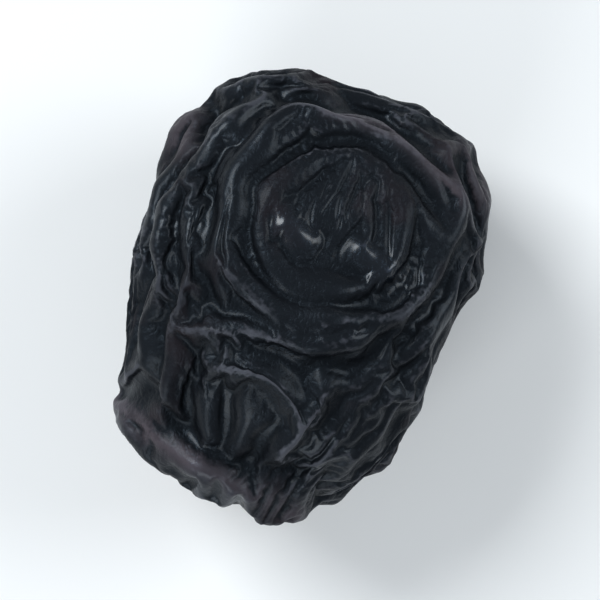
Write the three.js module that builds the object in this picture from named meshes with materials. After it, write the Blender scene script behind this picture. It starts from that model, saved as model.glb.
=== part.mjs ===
import * as THREE from 'three';
import { ImprovedNoise } from 'three/addons/math/ImprovedNoise.js';
import { mergeVertices } from 'three/addons/utils/BufferGeometryUtils.js';

const { degToRad, lerp, smoothstep } = THREE.MathUtils;

// One dried ajwa date that lies on its side, in millimetres. +X is to the right, +Y runs
// along the fruit to its rounded tip, and +Z is up. The stem end, with its dry calyx cap,
// looks along -Y and a little down. The fruit is worked out round its own middle, and both
// pieces are moved together at the end, so that the flat spot lies in the plane z = 0.

// The fruit before its skin folds
const FRUIT_HALF_WIDTH = 10.8;
const FRUIT_HALF_LENGTH = 13.35;
const FRUIT_HALF_HEIGHT = 9.5;
const OUTLINE_FULLNESS = 2.4; // 2 is an ellipse, and more gives the barrel shape of the outline
const SECTION_FULLNESS = 2.2;
const STEM_END_NARROWING = 0.09; // share of the width that is lost at the stem end
const SKIN_DETAIL = 22; // each edge of an icosahedron is cut in this many steps, plus one

// Broad hollows and swellings, each round the point where a direction meets the skin
const SWELLINGS = [
  { towards: [1, 0.95, 0.12], radius: 4.5, height: 1.0 },
  { towards: [-1, 0.9, -0.1], radius: 4.5, height: 0.5 },
  { towards: [-0.9, -0.9, 0.1], radius: 4, height: 0.6 },
  { towards: [1, -0.25, 0.1], radius: 5.5, height: -0.9 },
  { towards: [0.5, -0.75, 0.75], radius: 4.5, height: 0.3 },
  { towards: [-1, 0.1, -0.45], radius: 5, height: -0.7 },
  { towards: [0.6, 0.75, -1], radius: 5, height: -0.7 },
  { towards: [-0.5, -0.9, -0.9], radius: 4, height: -0.5 },
  { towards: [0.3, 1, 0.5], radius: 4, height: -0.4 },
];

// The ringed dish in the upper face
const DISH_CENTRE = new THREE.Vector2(1.3, 4.6);
const DISH_HALF_WIDTH = 7.2;
const DISH_HALF_LENGTH = 6.6;
const DISH_DEPTH = 0.9;
const RINGS = [
  { share: 0.66, height: 0.15, width: 0.7 },
  { share: 1, height: 0.45, width: 0.9 },
  { share: 1.29, height: 0.45, width: 0.9 },
  { share: 1.58, height: 0.4, width: 0.9 },
];

// Folds that cross the upper face, as points of their crests seen from above. The lip is the
// smooth one that ends the upper face at the stem end.
const LIP_CREST = [[-9.8, -8.6], [-6.8, -10.8], [-2.6, -12.2], [3, -13]];
const UPPER_FOLDS = [
  { height: 0.45, width: 0.75, crest: [[-8.6, 3.4], [-8.9, 0], [-8.4, -3.5], [-8.6, -7.2]] },
  { height: 0.4, width: 0.7, crest: [[-6.7, -0.6], [-6.9, -3.2], [-6.4, -6.4], [-6.8, -9]] },
  { height: 0.4, width: 0.95, crest: [[-6.2, -3.9], [-4, -3.5], [-1, -2.9], [1.6, -2.9], [4.2, -2.2]] },
  { height: 0.4, width: 0.75, crest: [[-3.6, -5.3], [-1.4, -5.7], [0.5, -6.7], [1.7, -8.4], [1, -10]] },
  { height: 0.35, width: 0.75, crest: [[3.1, -5.4], [2.5, -6.8], [1.7, -8.4]] },
  { height: 0.45, width: 0.85, crest: [[-6.6, 10.8], [-3.4, 12.6], [0.4, 13.1], [4.4, 12.2], [7.2, 9.9]] },
  { height: 0.4, width: 0.8, crest: [[9.3, 5.5], [9.6, 2.2], [8.9, -1.4], [8.3, -5]] },
  { height: 0.25, width: 0.7, crest: [[-2.6, 4.6], [-1.6, 4.1], [-0.7, 3.3]] },
  { height: 0.25, width: 0.8, crest: [[3.5, 3.2], [4.2, 2.6], [5.1, 2.4]] },
  { height: 0.8, width: 1, crest: LIP_CREST },
];

// The stem end, the lip of skin round it, and the seat of the calyx cap
const STEM_TURN = degToRad(12); // from -Y towards -X
const STEM_TILT = degToRad(22); // below the horizontal
const SEAT_DISTANCE = 11.7; // from the middle of the fruit
const SEAT_CURVE_RADIUS = 26;
const SEAT_RADIUS = 4.7;
const SEAT_BLEND_RADIUS = 6;
const LIP_RADIUS = 7.4;
const LIP_WIDTH = 1.2;
const LIP_HEIGHT = 0.7;

// The scar at the rounded tip
const TIP = new THREE.Vector3(0.06, 1, -0.2).normalize();
const TIP_SCAR_RADIUS = 1.5;
const TIP_SCAR_DEPTH = 0.7;

// How the skin folds as the flesh below it dries and shrinks
const SPARE_SKIN_ACROSS = 0.14; // across the grain, as a share of the skin's width
const SPARE_SKIN_ALONG = 0.05;
const SPARE_SKIN_VARIATION = 0.4;
const BENDING_STIFFNESS = 0.16; // where 1 is the skin's resistance to stretching
const FLESH_STIFFNESS_INWARD = 0.015;
const FLESH_STIFFNESS_OUTWARD = 0.045;
const FLESH_GRIP = 0.025; // hold of the flesh on skin that slides over it
const FOLDING_STEPS = 700;
const FOLDING_PACE = 0.4;
const FOLDING_DAMPING = 0.88;
const FIRST_RIPPLE = 0.08;
const FOLDING_SEED = 41;

// The small flat spot that the date lies on, pressed into a low swelling under its weight
const REST_SWELLING = { towards: [0.02, 0.16, -1], radius: 5, height: 0.45 };
const REST_DEPTH = 0.33;
const REST_CALM_RADIUS = 2;
const REST_FOLDED_RADIUS = 4.2;

// The calyx cap: three broad lobes, and three short ones on top that stand between them
const CAP_GAP = 0.3;
const CAP_THICKNESS = 0.6;
const CAP_SEGMENTS = 72;
const BROAD_LOBES = { inner: 2.9, outer: 4.4, phase: 0.4, roundness: 0.55 };
const SHORT_LOBES = { inner: 1.9, outer: 3, phase: 0.4 + Math.PI / 3, roundness: 0.7 };
const SCAR_RADIUS = 1.1;
const SCAR_HEIGHT = 0.75;
const TIP_CURL = 0.5; // how far the lobes lift off the fruit at their ends

const SKIN_COLOUR = 0x211c1c;
const CALYX_COLOUR = 0x8a5a2e;

const noise = new ImprovedNoise();

/** A repeatable source of numbers from 0 to 1. */
function seededRandom(seed) {
  let state = seed;
  return () => {
    state = (state + 0x6d2b79f5) | 0;
    let mixed = Math.imul(state ^ (state >>> 15), 1 | state);
    mixed = (mixed + Math.imul(mixed ^ (mixed >>> 7), 61 | mixed)) ^ mixed;
    return ((mixed ^ (mixed >>> 14)) >>> 0) / 4294967296;
  };
}

/** A rounded crest: 1 at no distance, and almost nothing past twice the width. */
function crest(distance, width) {
  return Math.exp(-((distance / width) ** 2));
}

/** Smooth noise with grains of a size in millimetres, from about -1 to 1. */
function softNoise(point, grain, offset) {
  return noise.noise(point.x / grain + offset, point.y / grain - offset, point.z / grain + 2 * offset);
}

/** The direction that the stem end looks in. */
function stemDirection() {
  const level = Math.cos(STEM_TILT);
  return new THREE.Vector3(
    -Math.sin(STEM_TURN) * level,
    -Math.cos(STEM_TURN) * level,
    -Math.sin(STEM_TILT),
  );
}

const stem = stemDirection();

/** How far a point is out along the stem end's axis, and how far it is from that axis. */
function placeAtStem(point) {
  const height = point.dot(stem);
  const radius = point.clone().addScaledVector(stem, -height).length();
  return { height, radius };
}

/** The height of the calyx cap's seat at a distance from the stem end's axis. */
function seatHeight(radius) {
  return SEAT_DISTANCE - radius ** 2 / (2 * SEAT_CURVE_RADIUS);
}

/** Where the skin lies in a direction from the middle of the plain ovoid. */
function ovoid(direction) {
  const { x, y, z } = direction;
  const level = Math.abs(x) ** OUTLINE_FULLNESS + Math.abs(y) ** OUTLINE_FULLNESS;
  const upright = Math.abs(z) ** SECTION_FULLNESS;
  const scale = (level ** (SECTION_FULLNESS / OUTLINE_FULLNESS) + upright) ** (-1 / SECTION_FULLNESS);
  const narrowing = 1 - STEM_END_NARROWING * smoothstep(-y * scale, -0.2, 1);
  return new THREE.Vector3(
    x * scale * FRUIT_HALF_WIDTH * narrowing,
    y * scale * FRUIT_HALF_LENGTH,
    z * scale * FRUIT_HALF_HEIGHT * narrowing,
  );
}

/** The points of a fold's crest, close together on one smooth curve seen from above. */
function crestPoints(places) {
  const corners = places.map(([x, y]) => new THREE.Vector3(x, y, 0));
  return new THREE.CatmullRomCurve3(corners).getPoints(12 * corners.length);
}

/** How far a place seen from above is from the nearest point of a crest. */
function distanceToCrest(place, points) {
  return Math.min(...points.map((point) => point.distanceTo(place)));
}

const swellings = [...SWELLINGS, REST_SWELLING].map(({ towards, radius, height }) => ({
  centre: ovoid(new THREE.Vector3(...towards).normalize()),
  radius,
  height,
}));
const upperFolds = UPPER_FOLDS.map((fold) => ({ ...fold, points: crestPoints(fold.crest) }));
const lipPoints = crestPoints(LIP_CREST);
const tipCentre = ovoid(TIP);

/** A point's distance from the dish's centre seen from above, as a share of the dish's half sizes. */
function dishShare(point) {
  const across = (point.x - DISH_CENTRE.x) / DISH_HALF_WIDTH;
  const along = (point.y - DISH_CENTRE.y) / DISH_HALF_LENGTH;
  return Math.hypot(across, along);
}

/** How far the flesh stands out from the ovoid at one of its points. */
function fleshRelief(point) {
  let relief = 0;
  for (const { centre, radius, height } of swellings) {
    relief += height * crest(point.distanceTo(centre), radius);
  }
  relief -= TIP_SCAR_DEPTH * crest(point.distanceTo(tipCentre), TIP_SCAR_RADIUS);
  relief += 0.35 * softNoise(point, 5.5, 3.7);

  const { height, radius } = placeAtStem(point);
  if (height > 0) {
    const unevenness = 1 + 0.5 * softNoise(point, 3, 8.1);
    relief += LIP_HEIGHT * unevenness * crest(radius - LIP_RADIUS, LIP_WIDTH);
  }
  return relief + upperRelief(point);
}

/** How far the dish, its rings and the hand-placed folds stand out on the upper face. */
function upperRelief(point) {
  const fade = smoothstep(point.z, -1, 2);
  if (fade === 0) {
    return 0;
  }
  const wander = new THREE.Vector3(softNoise(point, 4, 1.3), softNoise(point, 4, 5.9), 0);
  const seen = point.clone().addScaledVector(wander, 0.7);
  seen.z = 0;
  const share = dishShare(seen);
  const crests = RINGS.map((ring) => {
    const open = ring.share > 1 ? smoothstep(seen.y, DISH_CENTRE.y - 6, DISH_CENTRE.y) : 1;
    const unevenness = 0.75 + 0.5 * softNoise(point, 4.5, ring.share * 9);
    return ring.height * open * unevenness * crest((share - ring.share) * DISH_HALF_LENGTH, ring.width);
  });
  for (const fold of upperFolds) {
    crests.push(fold.height * crest(distanceToCrest(seen, fold.points), fold.width));
  }
  const relief = Math.max(...crests) - DISH_DEPTH * crest(share, 0.72);
  return fade * relief;
}

/** Moves a point at the stem end onto the smooth seat of the calyx cap. */
function settleOnSeat(point) {
  const { height, radius } = placeAtStem(point);
  if (height < 0) {
    return;
  }
  const hold = 1 - smoothstep(radius, SEAT_RADIUS, SEAT_BLEND_RADIUS);
  point.addScaledVector(stem, hold * (seatHeight(radius) - height));
}

/** How free the skin is to fold at a point, from 0 where it lies smooth to 1. */
function freedom(point) {
  const { height, radius } = placeAtStem(point);
  const offSeat = height < 0 ? 1 : smoothstep(radius, SEAT_RADIUS - 0.2, SEAT_BLEND_RADIUS + 0.4);
  const fromRest = Math.hypot(point.x, point.y);
  const offRest = point.z > 0 ? 1 : smoothstep(fromRest, REST_CALM_RADIUS, REST_FOLDED_RADIUS);
  const offTip = smoothstep(point.distanceTo(tipCentre), 0.5, TIP_SCAR_RADIUS * 2);
  return offSeat * offRest * offTip;
}

/** The spare skin at a point, from 0 to about 1: less on top, and least in the dish, on the belly and lip. */
function spareSkin(point) {
  const calmDish = point.z > 0 ? 0.75 * crest(dishShare(point), 0.85) : 0;
  const belly = new THREE.Vector3(3.5, -6.5, 8);
  const calmBelly = 0.45 * crest(point.distanceTo(belly), 5);
  const calmFront = 0.35 * smoothstep(point.z, 3, 7);
  const seen = new THREE.Vector3(point.x, point.y, 0);
  const calmLip = point.z > 0 ? 0.7 * crest(distanceToCrest(seen, lipPoints), 2) : 0;
  const variation = 1 + SPARE_SKIN_VARIATION * softNoise(point, 7, 15.2);
  return freedom(point) * variation * (1 - calmDish) * (1 - calmBelly) * (1 - calmFront) * (1 - calmLip);
}

/** How far a direction in the skin runs with a way that folds take there, from 0 across it to 1. */
function alignment(direction, way, normal) {
  way.addScaledVector(normal, -way.dot(normal)).normalize();
  return direction.dot(way) ** 2;
}

/** How far a direction in the skin runs with the folds: along the fruit, and round the dish near it. */
function alongFolds(point, direction, normal) {
  const lengthwise = new THREE.Vector3(softNoise(point, 6, 21.3), 1, softNoise(point, 6, 27.9));
  const roundDish = new THREE.Vector3(DISH_CENTRE.y - point.y, point.x - DISH_CENTRE.x, 0);
  const ringShare = point.z > 0 ? crest(Math.max(dishShare(point) - 1.2, 0), 0.5) : 0;
  return lerp(
    alignment(direction, lengthwise, normal),
    alignment(direction, roundDish, normal),
    ringShare,
  );
}

/** For each point of a closed mesh, the points that it is joined to. */
function joinedPoints(geometry) {
  const joined = Array.from({ length: geometry.attributes.position.count }, () => new Set());
  const corners = geometry.index.array;
  for (let first = 0; first < corners.length; first += 3) {
    for (let side = 0; side < 3; side += 1) {
      const from = corners[first + side];
      const to = corners[first + ((side + 1) % 3)];
      joined[from].add(to);
      joined[to].add(from);
    }
  }
  return joined.map((others) => [...others]);
}

/** For each point, how far its value lies from the mean of the values it is joined to. */
function unevennessOf(values, joined) {
  return values.map((value, index) => {
    const mean = new THREE.Vector3();
    for (const other of joined[index]) {
      mean.add(values[other]);
    }
    return mean.divideScalar(joined[index].length).sub(value);
  });
}

/**
 * Lays a skin that has become too wide over the flesh, and lets it buckle into folds. Each edge
 * of the mesh is a spring whose free length grows step by step, the skin resists bending, and
 * the flesh holds it back, more firmly against a crest than against a dent.
 */
function foldSkin(flesh, normals, joined) {
  const random = seededRandom(FOLDING_SEED);
  const skin = flesh.map((point, index) =>
    point.clone().addScaledVector(normals[index], FIRST_RIPPLE * (random() - 0.5)));
  const speeds = flesh.map(() => new THREE.Vector3());
  const springs = springsOf(flesh, normals, joined);

  for (let step = 0; step < FOLDING_STEPS; step += 1) {
    const grown = Math.min(step / (0.85 * FOLDING_STEPS), 1);
    const moved = skin.map((point, index) => point.clone().sub(flesh[index]));
    const bending = unevennessOf(unevennessOf(moved, joined), joined);
    const forces = moved.map((shift, index) => {
      const outward = shift.dot(normals[index]);
      const stiffness = outward < 0 ? FLESH_STIFFNESS_INWARD : FLESH_STIFFNESS_OUTWARD;
      return bending[index]
        .multiplyScalar(-BENDING_STIFFNESS)
        .addScaledVector(normals[index], -(stiffness - FLESH_GRIP) * outward)
        .addScaledVector(shift, -FLESH_GRIP);
    });
    for (const { from, to, length, growth } of springs) {
      const way = skin[to].clone().sub(skin[from]);
      const now = way.length();
      way.multiplyScalar((now - length * (1 + growth * grown)) / now);
      forces[from].add(way);
      forces[to].sub(way);
    }
    skin.forEach((point, index) => {
      speeds[index].addScaledVector(forces[index], FOLDING_PACE).multiplyScalar(FOLDING_DAMPING);
      point.addScaledVector(speeds[index], FOLDING_PACE);
    });
  }
  return skin;
}

/** One spring for each edge of the mesh, with its length on the flesh and how much it grows. */
function springsOf(flesh, normals, joined) {
  const springs = [];
  flesh.forEach((point, from) => {
    for (const to of joined[from].filter((other) => other > from)) {
      const way = flesh[to].clone().sub(point);
      const length = way.length();
      const middle = point.clone().lerp(flesh[to], 0.5);
      const along = alongFolds(middle, way.divideScalar(length), normals[from]);
      const growth = spareSkin(middle) * lerp(SPARE_SKIN_ACROSS, SPARE_SKIN_ALONG, along);
      springs.push({ from, to, length, growth });
    }
  });
  return springs;
}

/** All points of a geometry as vectors. */
function pointsOf(geometry) {
  const { position } = geometry.attributes;
  return Array.from({ length: position.count }, (_, index) =>
    new THREE.Vector3().fromBufferAttribute(position, index));
}

/** Puts points into a geometry and works its normals out again. */
function movePoints(geometry, points) {
  points.forEach((point, index) => geometry.attributes.position.setXYZ(index, ...point));
  geometry.computeVertexNormals();
}

/** The outward directions at all points of a geometry. */
function normalsOf(geometry) {
  const { normal } = geometry.attributes;
  return Array.from({ length: normal.count }, (_, index) =>
    new THREE.Vector3().fromBufferAttribute(normal, index));
}

/** A ball of nearly even triangles that share their corners. */
function ballGeometry() {
  const ball = new THREE.IcosahedronGeometry(1, SKIN_DETAIL);
  ball.deleteAttribute('normal');
  ball.deleteAttribute('uv');
  return mergeVertices(ball, 1e-5);
}

/** The fruit: flesh and folded skin as one closed body, with the flat spot below it. */
function fruitGeometry() {
  const geometry = ballGeometry();
  movePoints(geometry, pointsOf(geometry).map((point) => ovoid(point.normalize())));
  const ovoidNormals = normalsOf(geometry);
  const flesh = pointsOf(geometry).map((point, index) =>
    point.addScaledVector(ovoidNormals[index], fleshRelief(point)));
  flesh.forEach(settleOnSeat);
  movePoints(geometry, flesh);

  const joined = joinedPoints(geometry);
  const skin = foldSkin(flesh, normalsOf(geometry), joined);
  const lowest = REST_DEPTH - REST_SWELLING.height - FRUIT_HALF_HEIGHT;
  movePoints(geometry, skin.map((point, index) => {
    const settled = flesh[index].clone().lerp(point, freedom(flesh[index]));
    settled.z = Math.max(settled.z, lowest);
    return settled;
  }));
  return geometry;
}

/** The outline of three lobes: how far they reach at an angle. */
function lobeReach({ inner, outer, phase, roundness }, angle) {
  const unevenness = 1 + 0.05 * Math.sin(5 * angle + 1) + 0.03 * Math.sin(8 * angle + 2);
  return lerp(inner, outer, Math.abs(Math.cos(1.5 * (angle - phase))) ** roundness) * unevenness;
}

/** The rings of points that make the cap, from the middle of its top round to its underside. */
function capRings(angle) {
  const broad = lobeReach(BROAD_LOBES, angle);
  const short = lobeReach(SHORT_LOBES, angle);
  const curl = (radius) => TIP_CURL * (radius / BROAD_LOBES.outer) ** 4;
  const step = 0.4;
  return [
    { radius: 0.45, height: CAP_THICKNESS + SCAR_HEIGHT - 0.3 },
    { radius: SCAR_RADIUS - 0.3, height: CAP_THICKNESS + SCAR_HEIGHT },
    { radius: SCAR_RADIUS, height: CAP_THICKNESS + SCAR_HEIGHT - 0.1 },
    { radius: SCAR_RADIUS + 0.25, height: CAP_THICKNESS + step },
    { radius: lerp(SCAR_RADIUS + 0.25, short, 0.55), height: CAP_THICKNESS + step - 0.12 },
    { radius: short - 0.15, height: CAP_THICKNESS + step + 0.05 },
    { radius: short + 0.08, height: CAP_THICKNESS },
    { radius: lerp(short, broad, 0.6), height: CAP_THICKNESS - 0.06 + curl(broad) * 0.4 },
    { radius: broad - 0.12, height: CAP_THICKNESS + curl(broad) },
    { radius: broad, height: CAP_THICKNESS / 2 + curl(broad) },
    { radius: broad - 0.12, height: curl(broad) },
    { radius: lerp(short, broad, 0.4), height: curl(broad) * 0.2 },
    { radius: short * 0.7, height: 0 },
    { radius: 0.6, height: 0 },
  ];
}

/** The calyx cap as one closed body that lies over its seat on the fruit. */
function capGeometry() {
  const across = new THREE.Vector3(0, 0, 1).cross(stem).normalize();
  const up = stem.clone().cross(across);
  const places = [];
  const placeAt = (radius, angle, height) => {
    const place = stem.clone().multiplyScalar(seatHeight(radius) + CAP_GAP + height);
    place.addScaledVector(across, radius * Math.cos(angle));
    return place.addScaledVector(up, radius * Math.sin(angle));
  };
  for (let segment = 0; segment < CAP_SEGMENTS; segment += 1) {
    const angle = (2 * Math.PI * segment) / CAP_SEGMENTS;
    places.push(...capRings(angle).map(({ radius, height }) => placeAt(radius, angle, height)));
  }
  const ringCount = places.length / CAP_SEGMENTS;
  const top = places.push(placeAt(0, 0, CAP_THICKNESS + SCAR_HEIGHT - 0.35)) - 1;
  const bottom = places.push(placeAt(0, 0, 0)) - 1;

  const corners = [];
  for (let segment = 0; segment < CAP_SEGMENTS; segment += 1) {
    const here = segment * ringCount;
    const next = ((segment + 1) % CAP_SEGMENTS) * ringCount;
    corners.push(top, here, next);
    for (let ring = 0; ring < ringCount - 1; ring += 1) {
      corners.push(here + ring, here + ring + 1, next + ring);
      corners.push(next + ring, here + ring + 1, next + ring + 1);
    }
    corners.push(bottom, next + ringCount - 1, here + ringCount - 1);
  }
  const geometry = new THREE.BufferGeometry().setFromPoints(places);
  geometry.setIndex(corners);
  geometry.computeVertexNormals();
  return geometry;
}

/** A named piece with its own material. */
function piece(name, geometry, color, roughness) {
  const material = new THREE.MeshStandardMaterial({ color, roughness, metalness: 0 });
  const mesh = new THREE.Mesh(geometry, material);
  mesh.name = name;
  return mesh;
}

const date = new THREE.Group();
date.add(piece('date_fruit', fruitGeometry(), SKIN_COLOUR, 0.5));
date.add(piece('calyx_cap', capGeometry(), CALYX_COLOUR, 0.85));

// The origin is at the middle of the whole date's underside.
const extent = new THREE.Box3().setFromObject(date);
const middle = extent.getCenter(new THREE.Vector3());
date.position.set(-middle.x, -middle.y, -extent.min.z);

export default date;
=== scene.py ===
"""One dried ajwa date on its side: its folded skin, its dry calyx cap and a pale studio."""
import logging
import math
from dataclasses import dataclass
from enum import Enum
from functools import cached_property

import bpy
import numpy as np
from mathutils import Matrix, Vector


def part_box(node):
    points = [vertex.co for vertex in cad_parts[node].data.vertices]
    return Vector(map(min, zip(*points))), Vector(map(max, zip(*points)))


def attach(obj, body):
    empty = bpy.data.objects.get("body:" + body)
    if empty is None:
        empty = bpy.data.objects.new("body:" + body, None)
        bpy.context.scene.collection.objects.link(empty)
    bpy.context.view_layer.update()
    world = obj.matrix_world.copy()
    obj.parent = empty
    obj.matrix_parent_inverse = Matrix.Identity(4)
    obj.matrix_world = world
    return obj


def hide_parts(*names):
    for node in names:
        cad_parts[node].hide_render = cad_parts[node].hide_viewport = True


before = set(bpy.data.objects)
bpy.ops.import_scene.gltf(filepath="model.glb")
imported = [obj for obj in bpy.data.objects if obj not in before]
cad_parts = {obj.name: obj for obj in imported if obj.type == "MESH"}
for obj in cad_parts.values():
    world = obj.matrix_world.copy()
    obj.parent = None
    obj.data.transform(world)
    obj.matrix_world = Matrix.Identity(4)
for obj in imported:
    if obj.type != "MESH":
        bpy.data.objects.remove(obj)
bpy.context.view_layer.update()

MM = 0.001
UP = np.array([0.0, 0.0, 1.0])

Colour = tuple[float, float, float, float]

log = logging.getLogger("ajwa_date")


@dataclass
class Signal:
    """The value of one shader socket, on which Python's sums add Math nodes."""

    bench: "NodeBench"
    socket: bpy.types.NodeSocket

    def _sum(self, operation: str, *values: "Signal | float") -> "Signal":
        """The result of one Math node."""
        return self.bench.node("ShaderNodeMath", {"operation": operation}, dict(enumerate(values)))

    def __add__(self, other: "Signal | float") -> "Signal":
        """This value plus another."""
        return self._sum("ADD", self, other)

    __radd__ = __add__

    def __sub__(self, other: "Signal | float") -> "Signal":
        """This value less another."""
        return self._sum("SUBTRACT", self, other)

    def __rsub__(self, other: float) -> "Signal":
        """A number less this value."""
        return self._sum("SUBTRACT", other, self)

    def __mul__(self, other: "Signal | float") -> "Signal":
        """This value times another."""
        return self._sum("MULTIPLY", self, other)

    __rmul__ = __mul__

    def step(self, low: float, high: float) -> "Signal":
        """A smooth step from 0 to 1 as this value goes from low to high."""
        sockets = {"Value": self, "From Min": low, "From Max": high}
        return self.bench.node("ShaderNodeMapRange", {"interpolation_type": "SMOOTHSTEP"}, sockets, "Result")


class NodeBench:
    """Builds one material out of shader nodes."""

    def __init__(self, name: str) -> None:
        """Starts a material that holds a Principled shader alone.

        Args:
            name: The material's name.
        """
        self.material = bpy.data.materials.new(name)
        self.material.use_nodes = True
        self.tree = self.material.node_tree
        self.shader = self.tree.nodes["Principled BSDF"]

    def node(
        self,
        kind: str,
        settings: dict[str, object],
        sockets: dict[str | int, object],
        output: str | int = 0,
    ) -> Signal:
        """Adds one node.

        Args:
            kind: The node's type, such as "ShaderNodeTexNoise".
            settings: The node's own settings, which are set first.
            sockets: A number, colour or vector, or the Signal to link, for each input named here.
            output: Which of its outputs is wanted.

        Returns:
            The value of that output.
        """
        made = self.tree.nodes.new(kind)
        for name, value in settings.items():
            setattr(made, name, value)
        for name, value in sockets.items():
            if isinstance(value, Signal):
                self.tree.links.new(value.socket, made.inputs[name])
            else:
                made.inputs[name].default_value = value
        return Signal(self, made.outputs[output])

    def place(self) -> Signal:
        """The shaded point's place in millimetres."""
        metres = self.node("ShaderNodeTexCoord", {}, {}, "Object")
        return self.node("ShaderNodeVectorMath", {"operation": "SCALE"}, {0: metres, "Scale": 1 / MM})

    def stretched(self, place: Signal, scales: tuple[float, float, float]) -> Signal:
        """A place with each of its coordinates scaled, so that what is drawn there is drawn out."""
        return self.node("ShaderNodeVectorMath", {"operation": "MULTIPLY"}, {0: place, 1: scales})

    def spread(self, *parts: Signal) -> Signal:
        """A place made of separate coordinates."""
        return self.node("ShaderNodeCombineXYZ", {}, dict(enumerate(parts)))

    def warped(self, place: Signal, grain: float, reach: float) -> Signal:
        """A place pushed about by smooth noise, so that what is drawn there bends.

        Args:
            place: The point's place in millimetres.
            grain: The size of the noise's clouds in millimetres.
            reach: About how far it pushes, in millimetres.

        Returns:
            The moved place.
        """
        pushed = self.node("ShaderNodeTexNoise", {}, {"Vector": place, "Scale": 1 / grain}, "Color")
        way = self.node("ShaderNodeVectorMath", {"operation": "SUBTRACT"}, {0: pushed, 1: (0.5,) * 3})
        scales = (2 * reach,) * 3
        return self.node("ShaderNodeVectorMath", {"operation": "MULTIPLY_ADD"}, {0: way, 1: scales, 2: place})

    def noise(self, place: Signal, grain: float, detail: float) -> Signal:
        """Noise from about 0.2 to 0.8, with clouds of a size in millimetres and finer layers."""
        sockets = {"Vector": place, "Scale": 1 / grain, "Detail": detail}
        return self.node("ShaderNodeTexNoise", {}, sockets, "Fac")

    def net(self, place: Signal, cell: float) -> Signal:
        """How far, as a share of a cell, a point is from the edges of a net of such cells."""
        sockets = {"Vector": place, "Scale": 1 / cell}
        return self.node("ShaderNodeTexVoronoi", {"feature": "DISTANCE_TO_EDGE"}, sockets, "Distance")

    def measured(self, name: str) -> Signal:
        """A value that the mesh holds for each of its points."""
        return self.node("ShaderNodeAttribute", {"attribute_name": name}, {}, "Fac")

    def mix(self, share: Signal, first: object, second: object) -> Signal:
        """The first colour, mixed with a share of the second one."""
        return self.node("ShaderNodeMix", {"data_type": "RGBA"}, {0: share, 6: first, 7: second}, 2)

    def bump(self, height: Signal, depth: float, under: Signal | None = None) -> Signal:
        """Bends the surface's normal by a height.

        Args:
            height: The height, from 0 to 1.
            depth: What a height of 1 measures, in millimetres.
            under: The normal that a coarser bump has bent already.

        Returns:
            The bent normal.
        """
        sockets = {"Height": height, "Distance": depth * MM, "Strength": 1.0}
        if under:
            sockets["Normal"] = under
        return self.node("ShaderNodeBump", {}, sockets, "Normal")

    def wire(self, **links: Signal) -> None:
        """Links varying values to the shader's inputs, named with underscores for spaces."""
        for name, value in links.items():
            self.tree.links.new(value.socket, self.shader.inputs[name.replace("_", " ")])

    def set(self, **numbers: float | Colour) -> None:
        """Sets constants on the shader's inputs, named with underscores for spaces."""
        for name, value in numbers.items():
            self.shader.inputs[name.replace("_", " ")].default_value = value


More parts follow.
